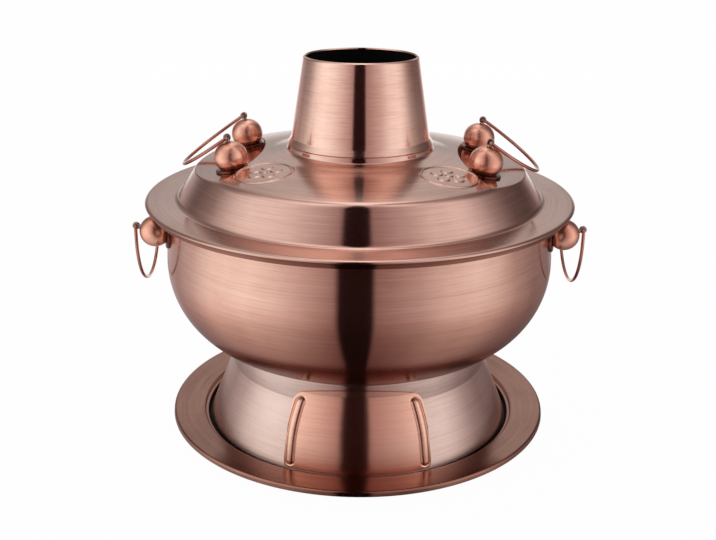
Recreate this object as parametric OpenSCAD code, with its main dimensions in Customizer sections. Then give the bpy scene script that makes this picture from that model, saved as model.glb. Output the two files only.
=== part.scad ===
// Chimney hot pot on its drip tray: a round pot with a fire tube through the middle,
// a flared foot with a sliding air door, a lift-off lid with ball-and-bail handles,
// and a loose chimney that slips over the lid's collar.
// Millimetres, +Z up, front (air door) towards -Y, origin at the centre of the tray's underside.

/* [Sheet metal] */
// Thickness of the spun sheet
sheet_t = 1.2; // [0.9:0.1:1.3]

/* [Drip tray] */
// Outer diameter
tray_d = 312.8; // [306:0.2:330]
// Height of the rim above the table
tray_h = 12; // [11:0.5:14]
// Diameter of the lip round the sunken floor
recess_d = 262; // [260:0.5:266]
// How far the broad ring falls from the rim to the lip
tray_fall = 2.6; // [1:0.1:4]
// Depth of the turned-down outer edge
tray_edge = 4; // [3:0.5:6]

/* [Foot] */
// Diameter at the bottom
foot_d = 249.2; // [246:0.2:251]
// Diameter of the upright neck under the bowl
neck_d = 211; // [206:0.5:213]
// Height of the crease between neck and flare
crease_z = 54; // [51:0.5:55]
// Height of the upright hem at the bottom
hem_z = 6; // [4:0.5:7]
// Steepness of the flare where it leaves the hem
foot_slope = 0.12; // [0.08:0.01:0.16]

/* [Air door] */
// Angle of the foot that the door covers
door_span = 53.2; // [53:0.2:56]
// Height of the lower edge
door_low = 7.5; // [7:0.5:10]
// Height of the upper edge at the middle
door_high = 68; // [66:0.5:69]
// Forward slope of the plane that the upper edge lies in
door_lean = 30; // [20:1:32]
// Radius of the door's upright curve
door_bow = 144.5; // [135:0.5:160]
// Angle from the middle to each pressed bead
bead_angle = 24.2; // [20:0.1:24.4]
// Width of a bead
bead_w = 6; // [4:0.5:7]
// Height of a bead above the door
bead_rise = 1.4; // [0.8:0.1:2]
// Angle of the air port behind the door
port_span = 35; // [28:1:38]
// Height of the guide slot's middle
slot_z = 59.5; // [58.5:0.5:60]
// Furthest angle of the guide slot to each side
slot_reach = 23.5; // [20:0.5:24]

/* [Bowl] */
// Height of the bowl's underside
bowl_low = 70.8; // [70:0.1:72]
// Radius of the flat floor
floor_r = 87.4; // [84:0.1:90]
// Largest radius of the belly
belly_r = 155.2; // [153:0.1:156]
// Height of the largest radius
belly_z = 142.3; // [138:0.1:146]
// Radius of the wall at the mouth
mouth_r = 153; // [151:0.1:154]
// Radius of the rim flange
rim_r = 166; // [164:0.1:167]
// Height of the rim's upper face
rim_z = 190.5; // [190:0.1:191]
// Depth of the rim's turned-down band
band_h = 4.3; // [3:0.1:6]

/* [Fire tube] */
// Outer radius at the bowl's floor
tube_low_r = 57; // [56:0.1:58]
// Outer radius at the top
tube_high_r = 50; // [49.5:0.1:51]
// Height of the top
tube_top = 244; // [240:0.5:250]
// Radius of the loose fire grate
grate_r = 46.5; // [44:0.5:47]

/* [Lid] */
// Height of the flange's upper face
flange_z = 193; // [193:0.1:194]
// Radius of the flange
flange_r = 170; // [168:0.5:172]
// Radius of the shoulder's corner before it is rounded
shoulder_r = 127.5; // [126:0.1:129]
// Height of the shoulder's corner
shoulder_z = 219.2; // [218:0.1:221]
// Radius where the skirt meets the flange
skirt_r = 144.8; // [143:0.1:147]
// Radius of the collar that the chimney slips over
collar_r = 55.2; // [55:0.1:55.4]
// Height of the lid at the collar's foot
collar_low = 230.4; // [230:0.1:231]
// Height of the collar's upper edge
collar_top = 237.9; // [237:0.1:238]
// Turn of the lid on the pot
lid_turn = -2.5; // [-10:0.5:10]
// Distance from the middle to each embossed medallion
medallion_at = 96; // [92:1:100]
// Radius of a medallion
medallion_r = 22; // [18:0.5:23]

/* [Chimney] */
// Radius of the flared lower edge
chimney_low_r = 57.3; // [57:0.1:58]
// Height of the lower edge
chimney_low = 235.1; // [235:0.1:236]
// Radius just above the flare
chimney_foot_r = 54.6; // [54.5:0.1:55]
// Radius of the mouth
chimney_top_r = 44.9; // [43:0.1:48]
// Height of the mouth
chimney_top = 302; // [290:0.5:320]

/* [Handles] */
// Diameter of a handle ball
ball_d = 24; // [22:0.5:25]
// Distance from the middle line to each ball of a pair
ball_y = 42; // [40:0.5:44]
// Distance from a ball's middle to the eye's middle
eye_up = 15; // [14.6:0.1:16]
// Outer radius of an eye
eye_r = 2.9; // [2.6:0.1:3]
// Thickness of an eye
eye_t = 2.3; // [2:0.1:2.6]
// Radius of an eye's bore
eye_bore_r = 1.2; // [1.18:0.01:1.24]
// Radius of a bail's pin
pin_r = 1.12; // [1.1:0.01:1.14]
// Diameter of the bail wire
wire_d = 2.6; // [2.4:0.1:2.8]
// Length of a lid bail from its pins to its tip
lid_bail_l = 52; // [51:0.5:54]
// Length of a side bail from its pins to its tip
side_bail_l = 55.6; // [52:0.5:58]
// Angle below level at which a lid bail rests
lid_bail_rest = 35; // [25:1:35]

/* [Hidden] */
$fn = 96;

copper = [0.71, 0.47, 0.40];
bright_copper = [0.80, 0.55, 0.46];
dark_copper = [0.55, 0.33, 0.28];
cast_iron = [0.16, 0.15, 0.15];
bolt_steel = [0.62, 0.60, 0.58];

right = 0;
left = 180;

seam = 0.02;
rest_gap = 0.1;

tray_r = tray_d / 2;
recess_r = recess_d / 2;
recess_wall = 3.4;

foot_r = foot_d / 2;
neck_r = neck_d / 2;
flare_h = crease_z - hem_z;
foot_curl = (foot_r - neck_r - foot_slope * flare_h) / (flare_h * flare_h);
lap_r = 90;

door_gap = 0.5;
door_half = door_span / 2;
door_neck_r = neck_r + door_gap + sheet_t;
door_step_z = 62.5;
door_start = [flare(door_low) + door_gap + sheet_t, door_low];
door_end = [door_neck_r, door_step_z];
door_centre = arc_centre(door_start, door_end, door_bow);
bead_tube_r = (bead_w * bead_w / 4 + bead_rise * bead_rise) / (2 * bead_rise);
bead_path_r = door_bow + bead_rise - bead_tube_r;
bead_low = 13.5;
bead_high = 56;
port_low = 14;
port_high = 44;
port_corner_r = 4;
slot_w = 4.2;
stud_r = 1.6;
stud_groove_r = 1.1;
stud_angles = [-21.5, -14.5];
clip_r = 3.4;
clip_t = 1;

wall_top = rim_z - sheet_t;
floor_hole_r = tube_low_r + 0.15;

tube_flange_r = 66;
tube_h = tube_top - bowl_low;
lug_z = 75;
lug_in = 41;
lug_t = 2;
grate_t = 4;
grate_bar = 5;
grate_slot = 4;

edge_r = 163;
edge_t = 2.2;
ring_r = 72;
ring_z = 227.5;

pad_slope = 0.16;
pad_z = 219.3;
pad_ref = 100;
pad_tilt = atan(pad_slope);
pad_edge_r = 188;
pad_edge_at = 268;
pad_draft = 0.5;

ball_r = ball_d / 2;
ball_flat = 8.5;
seat_t = 1.7;
seat_r = 13.2;
shank_r = 2;
shank_bore_r = 2.1;
nut_bore_r = 2.05;
nut_r = 4;
nut_h = 3.2;
washer_r = 5;
washer_t = 1;

lid_ball_x = 96.5;
lid_ball_up = seat_t + ball_flat + 2 * seam;
lid_base_x = lid_ball_x - lid_ball_up * sin(pad_tilt);
lid_base_z = pad_z - pad_slope * (lid_base_x - pad_ref);

side_ball_x = 158;
side_ball_z = 172;
side_rise = 16;
side_seat_r = 10.6;
side_seat_t = 2;
side_shank = 15.6;

wire_r = wire_d / 2;
bend_r = 1.6;
leg_y = ball_y + eye_t / 2 + 0.25 + bend_r;
pin_in = 40;

// Points along an arc from angle a0 to a1.
function arc(c, r, a0, a1, n = 8) =
    [for (i = [0:n]) let (a = a0 + (a1 - a0) * i / n) c + r * [cos(a), sin(a)]];

// Unit normal on the left hand of the way from a to b.
function left_normal(a, b) = let (d = b - a) [-d[1], d[0]] / norm(d);

// Centre of the arc of radius r from a to b that bows to the right.
function arc_centre(a, b, r) =
    (a + b) / 2 + left_normal(a, b) * sqrt(r * r - (b - a) * (b - a) / 4);

// The path moved to its left by t, with mitred corners.
function shifted(p, t) = [for (i = [0:len(p) - 1])
    let (before = left_normal(p[max(i - 1, 0)], p[max(i, 1)]),
         after = left_normal(p[min(i, len(p) - 2)], p[min(i + 1, len(p) - 1)]),
         both = before + after)
    p[i] + both * (2 * t / (both * both))];

function reversed(p) = [for (i = [len(p) - 1:-1:0]) p[i]];
function place(q) = [q[0], q[1]];
function fillet_of(q) = len(q) > 2 ? q[2] : 0;
function short_turn(a) = a > 180 ? a - 360 : (a < -180 ? a + 360 : a);

// The corner at b, on the way from a to c, rounded to radius f.
function corner(a, b, c, f) = f == 0 ? [b] :
    let (u = (a - b) / norm(a - b),
         v = (c - b) / norm(c - b),
         half = acos(u * v) / 2,
         centre = b + (u + v) / norm(u + v) * f / sin(half),
         p = b + u * f / tan(half) - centre,
         q = b + v * f / tan(half) - centre,
         start = atan2(p[1], p[0]),
         turn = short_turn(atan2(q[1], q[0]) - start))
    arc(centre, f, start, start + turn, f > 4 ? 6 : 4);

// A path through [r, z] or [r, z, fillet] points with its corners rounded.
function bend(p) = [for (i = [0:len(p) - 1]) each
    i == 0 || i == len(p) - 1 ? [place(p[i])] :
    corner(place(p[i - 1]), place(p[i]), place(p[i + 1]), fillet_of(p[i]))];

// Outer radius of the foot's flare at height z.
function flare(z) = foot_r - foot_slope * (z - hem_z) - foot_curl * (z - hem_z) * (z - hem_z);

// Outer radius of the air door at height z.
function door_r(z) = z > door_step_z ? door_neck_r :
    door_centre[0] + sqrt(door_bow * door_bow - (z - door_centre[1]) * (z - door_centre[1]));

// Height of the bowl's underside at radius r, along the elliptical belly.
function belly_under(r) = belly_z - (belly_z - bowl_low)
    * sqrt(1 - pow(max(r - floor_r, 0) / (belly_r - floor_r), 2));

// Outer radius of the bowl's upper wall at height z.
function wall_r(z) = belly_r + (mouth_r - belly_r) * (z - belly_z) / (wall_top - belly_z);

// Outer radius of the fire tube at height z.
function tube_r(z) = tube_low_r + (tube_high_r - tube_low_r) * (z - bowl_low) / tube_h;

// A sheet of thickness t on the left hand of a path.
module sheet(path, t) {
    polygon(concat(path, reversed(shifted(path, t))));
}

// A shape drawn at radius r, upright, turned to stand at an angle from the front.
module at_front(angle) {
    rotate([0, 0, angle - 90]) children();
}

module drip_tray() {
    path = bend([
        [0, sheet_t],
        [recess_r - recess_wall, sheet_t, 2],
        [recess_r, tray_h - tray_fall, 1.8],
        [tray_r - 0.4, tray_h, 1.8],
        [tray_r, tray_h - tray_edge]]);
    color(copper) rotate_extrude() sheet(path, -sheet_t);
}

// The foot laps under the bowl, drops as an upright neck and flares out to its hem.
foot_path = concat(
    [for (r = [lap_r:3.5:neck_r - 4]) [r, belly_under(r) - seam]],
    bend([
        [neck_r - 4, belly_under(neck_r - 4) - seam],
        [neck_r, belly_under(neck_r) - seam, 1.8],
        [neck_r, crease_z + 1, 2],
        [flare(crease_z - 3), crease_z - 3]]),
    [for (i = [1:8]) let (z = crease_z - 3 - (crease_z - 3 - hem_z) * i / 8) [flare(z), z]],
    [[foot_r, sheet_t + rest_gap]]);

module port_cut() {
    tall = port_high - port_low;
    turn = port_corner_r / flare(port_low) * 180 / PI;
    at_front(-port_span / 2 + turn) rotate_extrude(angle = port_span - 2 * turn)
        translate([lap_r, port_low]) square([60, tall]);
    at_front(-port_span / 2) rotate_extrude(angle = port_span)
        translate([lap_r, port_low + port_corner_r]) square([60, tall - 2 * port_corner_r]);
    for (side = [-1, 1], z = [port_low + port_corner_r, port_high - port_corner_r])
        at_front(side * (port_span / 2 - turn)) translate([lap_r, 0, z])
            rotate([0, 90, 0]) cylinder(r = port_corner_r, h = 60);
}

module slot_cut() {
    at_front(-slot_reach) rotate_extrude(angle = 2 * slot_reach)
        translate([neck_r - 5, slot_z - slot_w / 2]) square([10, slot_w]);
    for (side = [-1, 1])
        at_front(side * slot_reach) translate([neck_r - 5, 0, slot_z])
            rotate([0, 90, 0]) cylinder(d = slot_w, h = 10);
}

module pot_foot() {
    color(copper) difference() {
        rotate_extrude() sheet(foot_path, -sheet_t);
        port_cut();
        slot_cut();
    }
}

// The door's upright curve, then a short upright lip that lies along the neck.
door_path = concat(
    arc(door_centre, door_bow,
        atan2(door_start[1] - door_centre[1], door_start[0] - door_centre[0]),
        atan2(door_end[1] - door_centre[1], door_end[0] - door_centre[0]), 10),
    [[door_neck_r, door_high + 2]]);

// Height of the door's upper edge at an angle from the middle.
function door_edge(a) = door_high - tan(door_lean) * door_neck_r * (1 - cos(a));

// The door's outline seen from the front.
door_outline = let (
    side = [for (z = [door_low:9:door_edge(door_half) - 8])
            [door_r(z) * sin(door_half), z, z == door_low ? 3 : 0]],
    top = [for (a = [door_half:-4:1])
            [door_neck_r * sin(a), door_edge(a), a == door_half ? 6 : 0]],
    half = concat([[0, door_low]], side, top, [[0, door_high]]))
    bend(concat(half, [for (q = reversed(half)) [-q[0], q[1], fillet_of(q)]]));

function door_angle(z) = asin((z - door_centre[1]) / bead_path_r);

// A round rod along the line of a bead. The balls that round its ends are a trace larger,
// so that each meets the rod at a clean edge.
module bead_rod(angle, r) {
    low = door_angle(bead_low);
    high = door_angle(bead_high);
    at_front(angle) translate([door_centre[0], 0, door_centre[1]]) rotate([90, 0, 0]) {
        rotate([0, 0, low]) rotate_extrude(angle = high - low)
            translate([bead_path_r, 0]) circle(r);
        for (a = [low, high]) rotate([0, 0, a]) translate([bead_path_r - 0.04, 0]) sphere(r + 0.03);
    }
}

module air_door() {
    color(bright_copper) difference() {
        union() {
            intersection() {
                rotate_extrude() sheet(door_path, sheet_t);
                rotate([90, 0, 0]) linear_extrude(foot_r + 10) polygon(door_outline);
            }
            difference() {
                for (side = [-1, 1]) bead_rod(side * bead_angle, bead_tube_r);
                door_inside(sheet_t / 2);
            }
        }
        for (side = [-1, 1]) bead_rod(side * bead_angle, bead_tube_r - sheet_t);
    }
}

// The round space inside the door, drawn in by t from its outer face.
module door_inside(t) {
    rotate_extrude() polygon(concat([[0, 0]], shifted(door_path, t), [[0, door_high + 2]]));
}

// Two grooved studs on the back of the door run in the neck's slot.
module door_studs() {
    groove_out = neck_r - sheet_t - 0.4;
    groove_in = groove_out - clip_t - 0.1;
    color(bolt_steel) intersection() {
        for (a = stud_angles)
            at_front(a) translate([0, 0, slot_z]) rotate([0, 90, 0]) {
                translate([0, 0, groove_out]) cylinder(r = stud_r, h = 8);
                translate([0, 0, groove_in]) cylinder(r = stud_groove_r, h = groove_out - groove_in);
                translate([0, 0, groove_in - 1]) cylinder(r = stud_r, h = 1);
            }
        door_inside(sheet_t + seam);
    }
}

module door_clips() {
    outer = neck_r - sheet_t - 0.45;
    color(bolt_steel) for (a = stud_angles)
        at_front(a) translate([outer - clip_t, 0, slot_z]) rotate([0, 90, 0]) difference() {
            cylinder(r = clip_r, h = clip_t);
            translate([0, 0, -1]) cylinder(r = stud_groove_r + 0.05, h = clip_t + 2);
        }
}

// Floor, elliptical belly, upper wall, rim flange and its turned-down band.
bowl_path = bend(concat(
    [[floor_hole_r, bowl_low]],
    [for (i = [0:14]) let (a = -90 + 90 * i / 14)
        [floor_r + (belly_r - floor_r) * cos(a), belly_z + (belly_z - bowl_low) * sin(a)]],
    [[mouth_r, wall_top, 2],
     [rim_r - sheet_t, wall_top, 0.8],
     [rim_r - sheet_t, rim_z - band_h]]));

module bowl() {
    color(copper) difference() {
        rotate_extrude() sheet(bowl_path, sheet_t);
        for (side = [right, left], y = [-ball_y, ball_y])
            on_side(side, y) translate([0, 0, -side_shank]) cylinder(r = shank_bore_r, h = side_shank);
    }
}

module fire_tube() {
    path = [
        [tube_flange_r, bowl_low - seam],
        [tube_low_r, bowl_low - seam],
        [tube_high_r, tube_top]];
    color(copper) rotate_extrude() sheet(path, sheet_t);
}

// Three small angles inside the tube carry the grate.
module grate_lugs() {
    wall = sheet_t + 0.05;
    color(dark_copper) for (a = [0, 120, 240]) at_front(a - 9)
        rotate_extrude(angle = 18) polygon([
            [lug_in, lug_z - lug_t],
            [tube_r(lug_z - lug_t) - wall, lug_z - lug_t],
            [tube_r(lug_z + 6) - wall, lug_z + 6],
            [tube_r(lug_z + 6) - wall - lug_t, lug_z + 6],
            [tube_r(lug_z) - wall - lug_t, lug_z],
            [lug_in, lug_z]]);
}

module fire_grate() {
    pitch = grate_bar + grate_slot;
    color(cast_iron) translate([0, 0, lug_z + rest_gap]) difference() {
        cylinder(r = grate_r, h = grate_t);
        for (i = [-4:4]) let (reach = sqrt(pow(grate_r - 6, 2) - pow(i * pitch, 2)) - grate_slot / 2)
            translate([0, i * pitch, -1]) {
                translate([-reach, -grate_slot / 2, 0]) cube([2 * reach, grate_slot, grate_t + 2]);
                for (end = [-reach, reach]) translate([end, 0, 0]) cylinder(d = grate_slot, h = grate_t + 2);
            }
    }
}

// Places a handle part with +Z along its bolt and the origin at the ball's middle.
module on_side(side, y) {
    rotate([0, 0, side]) translate([side_ball_x, y, side_ball_z]) rotate([0, 90 - side_rise, 0])
        children();
}

// The cone of the bowl's upper wall, grown outward by extra.
module wall_cone(extra) {
    low = belly_z + 4;
    translate([0, 0, low])
        cylinder(h = wall_top - low, r1 = wall_r(low) + extra, r2 = wall_r(wall_top) + extra);
}

// Saddle washers, curved to the wall, under the side balls.
module side_seats() {
    color(dark_copper) difference() {
        intersection() {
            for (side = [right, left], y = [-ball_y, ball_y])
                on_side(side, y) translate([0, 0, -side_shank]) difference() {
                    cylinder(r = side_seat_r, h = side_shank);
                    cylinder(r = shank_bore_r, h = side_shank);
                }
            wall_cone(side_seat_t);
        }
        wall_cone(seam);
    }
}

module side_ball(side, y) {
    color(copper) difference() {
        on_side(side, y) sphere(ball_r);
        wall_cone(side_seat_t + seam);
        on_side(side, y) translate([0, 0, -ball_r - 1]) cylinder(r = shank_bore_r, h = ball_d + 2);
    }
}

module side_ball_left_front() side_ball(left, ball_y);
module side_ball_left_back() side_ball(left, -ball_y);
module side_ball_right_front() side_ball(right, -ball_y);
module side_ball_right_back() side_ball(right, ball_y);

// An eye on a straight shank, the eye's middle at height up and the shank's end at height low.
module eyebolt(up, low) {
    difference() {
        union() {
            translate([0, eye_t / 2, up]) rotate([90, 0, 0]) cylinder(r = eye_r, h = eye_t);
            translate([0, 0, low]) cylinder(r = shank_r, h = up - 1.9 - low);
        }
        translate([0, eye_t, up]) rotate([90, 0, 0]) cylinder(r = eye_bore_r, h = 2 * eye_t);
    }
}

module side_eyebolts() {
    color(dark_copper) for (side = [right, left], y = [-ball_y, ball_y])
        on_side(side, y) eyebolt(eye_up, -side_shank);
}

// Cap nuts inside the bowl, their faces cut to the wall.
module side_nuts() {
    color(bolt_steel) intersection() {
        for (side = [right, left], y = [-ball_y, ball_y])
            on_side(side, y) translate([0, 0, -side_shank - 1.6]) difference() {
                cylinder(r = nut_r, h = 9, $fn = 6);
                translate([0, 0, 1.4]) cylinder(r = nut_bore_r, h = 9);
            }
        wall_cone(-sheet_t - seam);
    }
}

// A round-ended wire handle lying along +X, with its pins on the Y axis.
module bail(reach) {
    arc_x = reach - wire_r - leg_y;
    translate([arc_x, 0, 0]) rotate([0, 0, -90]) rotate_extrude(angle = 180)
        translate([leg_y, 0]) circle(wire_r);
    for (side = [-1, 1]) {
        translate([bend_r, side * leg_y, 0]) rotate([0, 90, 0]) cylinder(r = wire_r, h = arc_x - bend_r);
        translate([bend_r, side * (leg_y - bend_r), 0]) rotate([0, 0, 135 - side * 45])
            rotate_extrude(angle = 90) translate([bend_r, 0]) circle(wire_r);
        translate([0, side * (leg_y + pin_in - bend_r) / 2, 0]) rotate([90, 0, 0])
            cylinder(r = pin_r, h = leg_y - bend_r - pin_in, center = true);
    }
}

module side_bail(side) {
    eye_x = side_ball_x + eye_up * cos(side_rise);
    eye_z = side_ball_z + eye_up * sin(side_rise);
    color(dark_copper) rotate([0, 0, side]) translate([eye_x, 0, eye_z]) rotate([0, 90, 0])
        bail(side_bail_l);
}

module side_bail_left() side_bail(left);
module side_bail_right() side_bail(right);

// The lid's upper face: collar, gentle cone with one faint ring, rounded shoulder, skirt, flange.
lid_face = [
    [collar_r - 1.2, collar_top],
    [collar_r, collar_low, 1.5],
    [ring_r, ring_z],
    [shoulder_r, shoulder_z, 8],
    [skirt_r, flange_z, 5]];

module lid_outer() {
    path = bend(concat(lid_face, [
        [flange_r, flange_z, 1],
        [flange_r, flange_z - edge_t, 1],
        [edge_r, flange_z - edge_t]]));
    rotate_extrude() polygon(concat([[0, flange_z - edge_t], [0, collar_top]], path));
}

module lid_inner() {
    path = shifted(bend(concat(lid_face, [[edge_r, flange_z]])), -sheet_t);
    rotate_extrude() polygon(concat(
        [[0, flange_z - 10], [0, collar_top + 5], [path[0][0], collar_top + 5]],
        path,
        [[edge_r, flange_z - 10]]));
}

// The space above a handle pad: over its sloping plane, outside its curved inner step.
module pad_cut(side, t) {
    low = 205;
    tall = 40;
    rotate([0, 0, lid_turn + side]) intersection() {
        translate([pad_edge_at, 0, low])
            cylinder(h = tall, r1 = pad_edge_r + t - 17 * pad_draft, r2 = pad_edge_r + t + 23 * pad_draft);
        translate([pad_ref, -150, pad_z - t]) rotate([0, pad_tilt, 0]) translate([-60, 0, 0])
            cube([140, 300, 40]);
    }
}

// Places a handle part with +Z square to the pad and the origin on the pad.
module on_pad(side, y) {
    rotate([0, 0, lid_turn + side]) translate([lid_base_x, y, lid_base_z]) rotate([0, pad_tilt, 0])
        children();
}

// A raised ring with a plain five-petal blossom, square to the lid's cone.
module medallion(angle) {
    slope = atan((ring_z - shoulder_z) / (shoulder_r - ring_r));
    z = ring_z - (medallion_at - ring_r) * tan(slope);
    rotate([0, 0, lid_turn + angle]) translate([medallion_at, 0, z]) rotate([0, slope, 0]) {
        translate([0, 0, -0.7]) difference() {
            cylinder(r = medallion_r, h = 1.5);
            translate([0, 0, -1]) cylinder(r = medallion_r - 2.2, h = 4);
        }
        for (i = [0:4]) rotate([0, 0, 72 * i]) translate([9, 0, -0.7]) cylinder(r = 4.6, h = 1.4);
        translate([0, 0, -0.7]) cylinder(r = 3, h = 1.4);
    }
}

module lid() {
    color(copper) difference() {
        union() {
            difference() {
                lid_outer();
                for (side = [right, left]) pad_cut(side, 0);
                difference() {
                    lid_inner();
                    for (side = [right, left]) pad_cut(side, sheet_t);
                }
            }
            for (angle = [45, 135, 225, 315]) medallion(angle);
        }
        for (side = [right, left], y = [-ball_y, ball_y])
            on_pad(side, y) translate([0, 0, -4]) cylinder(r = shank_bore_r, h = 8);
    }
}

// Thin discs on the pads, each trimmed where the pad's curved step passes it.
module lid_seats() {
    color(dark_copper) for (side = [right, left], y = [-ball_y, ball_y]) intersection() {
        on_pad(side, y) translate([0, 0, -1]) difference() {
            cylinder(r = seat_r, h = seat_t + seam + 1);
            translate([0, 0, -1]) cylinder(r = shank_bore_r, h = seat_t + 4);
        }
        pad_cut(side, -seam);
    }
}

module lid_ball(side, y) {
    color(copper) on_pad(side, y) difference() {
        translate([0, 0, lid_ball_up]) sphere(ball_r);
        translate([-ball_r, -ball_r, lid_ball_up - ball_flat - ball_r]) cube([ball_d, ball_d, ball_r]);
        cylinder(r = shank_bore_r, h = lid_ball_up + ball_r + 1);
    }
}

module lid_ball_left_front() lid_ball(left, ball_y);
module lid_ball_left_back() lid_ball(left, -ball_y);
module lid_ball_right_front() lid_ball(right, -ball_y);
module lid_ball_right_back() lid_ball(right, ball_y);

module lid_eyebolts() {
    end = -sheet_t - washer_t - nut_h - 0.6;
    color(dark_copper) for (side = [right, left], y = [-ball_y, ball_y])
        on_pad(side, y) eyebolt(lid_ball_up + eye_up, end);
}

module lid_washers() {
    color(bolt_steel) for (side = [right, left], y = [-ball_y, ball_y])
        on_pad(side, y) translate([0, 0, -sheet_t - seam - washer_t]) difference() {
            cylinder(r = washer_r, h = washer_t);
            translate([0, 0, -1]) cylinder(r = shank_bore_r, h = washer_t + 2);
        }
}

module lid_nuts() {
    color(bolt_steel) for (side = [right, left], y = [-ball_y, ball_y])
        on_pad(side, y) translate([0, 0, -sheet_t - 2 * seam - washer_t - nut_h]) difference() {
            cylinder(r = nut_r, h = nut_h, $fn = 6);
            translate([0, 0, -1]) cylinder(r = nut_bore_r, h = nut_h + 2);
        }
}

module lid_bail(side) {
    eye = lid_ball_up + eye_up;
    color(dark_copper) rotate([0, 0, lid_turn + side])
        translate([lid_base_x + eye * sin(pad_tilt), 0, lid_base_z + eye * cos(pad_tilt)])
            rotate([0, lid_bail_rest, 0]) bail(lid_bail_l);
}

module lid_bail_left() lid_bail(left);
module lid_bail_right() lid_bail(right);

// A slim cone with a flared lower edge and a rolled mouth.
module chimney() {
    path = bend([
        [chimney_low_r, chimney_low],
        [chimney_foot_r, chimney_low + 4.4, 3],
        [chimney_top_r, chimney_top - 0.9, 1.5],
        [chimney_top_r - 1.6, chimney_top]]);
    color(copper) rotate_extrude() sheet(path, sheet_t);
}

drip_tray();
pot_foot();
air_door();
door_studs();
door_clips();
bowl();
fire_tube();
grate_lugs();
fire_grate();
side_seats();
side_ball_left_front();
side_ball_left_back();
side_ball_right_front();
side_ball_right_back();
side_eyebolts();
side_nuts();
side_bail_left();
side_bail_right();
lid();
lid_seats();
lid_ball_left_front();
lid_ball_left_back();
lid_ball_right_front();
lid_ball_right_back();
lid_eyebolts();
lid_washers();
lid_nuts();
lid_bail_left();
lid_bail_right();
chimney();
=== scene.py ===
"""Chimney hot pot on its drip tray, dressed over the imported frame."""
import bpy
import bmesh
import math
from mathutils import Matrix, Vector


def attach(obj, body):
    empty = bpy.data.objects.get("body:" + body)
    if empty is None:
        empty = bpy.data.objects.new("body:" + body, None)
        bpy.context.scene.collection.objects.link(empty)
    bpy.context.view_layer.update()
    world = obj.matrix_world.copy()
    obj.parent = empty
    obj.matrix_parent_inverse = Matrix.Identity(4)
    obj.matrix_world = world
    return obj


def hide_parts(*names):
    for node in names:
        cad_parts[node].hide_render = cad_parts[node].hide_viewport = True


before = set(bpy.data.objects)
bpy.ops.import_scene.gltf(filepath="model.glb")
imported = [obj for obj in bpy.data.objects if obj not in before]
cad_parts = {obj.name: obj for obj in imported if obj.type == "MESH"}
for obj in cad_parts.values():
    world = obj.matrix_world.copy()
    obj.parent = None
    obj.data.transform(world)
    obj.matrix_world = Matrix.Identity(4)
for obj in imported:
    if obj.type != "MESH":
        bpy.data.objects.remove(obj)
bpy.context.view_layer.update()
mm = 0.001


# ---- Drip tray -------------------------------------------------------------------------
# A shallow round tray spun from stainless sheet and plated an antique copper colour. Its broad
# ring falls a little towards a small ledge and a sunken floor, which is coloured almost black
# as painted shade round the foot. Its rim is turned down.

def fillet(a, b, c, radius, steps):
    """The corner at b, on the way from a to c, as an arc of that radius."""
    if radius == 0:
        return [b]
    to_a = (a - b).normalized()
    to_c = (c - b).normalized()
    half = to_a.angle(to_c) / 2
    centre = b + (to_a + to_c).normalized() * radius / math.sin(half)
    start = b + to_a * radius / math.tan(half) - centre
    turn = start.angle_signed(b + to_c * radius / math.tan(half) - centre)
    arc = []
    for i in range(steps + 1):
        spoke = start.copy()
        spoke.rotate(Matrix.Rotation(-turn * i / steps, 2))
        arc.append(centre + spoke)
    return arc


def bent(corners, steps=8):
    """A path through (r, z) or (r, z, fillet) corners in mm, rounded where a fillet is given."""
    flat = [Vector(c[:2]) for c in corners]
    path = [flat[0]]
    for i in range(1, len(corners) - 1):
        radius = corners[i][2] if len(corners[i]) > 2 else 0
        path += fillet(flat[i - 1], flat[i], flat[i + 1], radius, steps)
    return path + [flat[-1]]


def left_of(path, t):
    """The path moved to its left by t mm, with mitred corners."""
    moved = []
    for i, p in enumerate(path):
        ways = []
        if i > 0:
            ways.append((p - path[i - 1]).normalized().orthogonal())
        if i < len(path) - 1:
            ways.append((path[i + 1] - p).normalized().orthogonal())
        both = ways[0] + ways[-1]
        moved.append(p + both * (2 * t / both.length_squared))
    return moved


def sheet_outline(path, t):
    """The closed outline of sheet metal of thickness t on the left of a path."""
    return path + left_of(path, t)[::-1]


def smooth(mesh):
    """Shades a mesh smooth, but keeps the edges sharp where it folds."""
    for face in mesh.polygons:
        face.use_smooth = True
    mesh.set_sharp_from_angle(angle=math.radians(32))


def piece(name, bm, body, material, stands_for=()):
    """A finished mesh object that rides on a body and replaces the named nodes."""
    bmesh.ops.recalc_face_normals(bm, faces=bm.faces)
    mesh = bpy.data.meshes.new(name)
    bm.to_mesh(mesh)
    bm.free()
    smooth(mesh)
    mesh.materials.append(material)
    thing = bpy.data.objects.new(name, mesh)
    bpy.context.collection.objects.link(thing)
    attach(thing, body)
    if stands_for:
        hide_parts(*stands_for)
    return thing


def spun(outline, steps=288):
    """A closed (r, z) outline in mm spun round the Z axis."""
    bm = bmesh.new()
    rings = []
    for i in range(steps):
        a = 2 * math.pi * i / steps
        rings.append([bm.verts.new((p.x * math.cos(a) * mm, p.x * math.sin(a) * mm, p.y * mm))
                      for p in outline])
    count = len(outline)
    for i in range(steps):
        here, there = rings[i], rings[(i + 1) % steps]
        for j in range(count):
            k = (j + 1) % count
            if outline[j].x > 0 or outline[k].x > 0:
                bm.faces.new((here[j], there[j], there[k], here[k]))
    bmesh.ops.remove_doubles(bm, verts=bm.verts, dist=1e-7)
    return bm


def linear(hex_colour):
    """An sRGB hex colour as linear RGBA."""
    levels = [int(hex_colour[i:i + 2], 16) / 255 for i in (1, 3, 5)]
    return [v / 12.92 if v <= 0.04045 else ((v + 0.055) / 1.055) ** 2.4 for v in levels] + [1.0]


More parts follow.
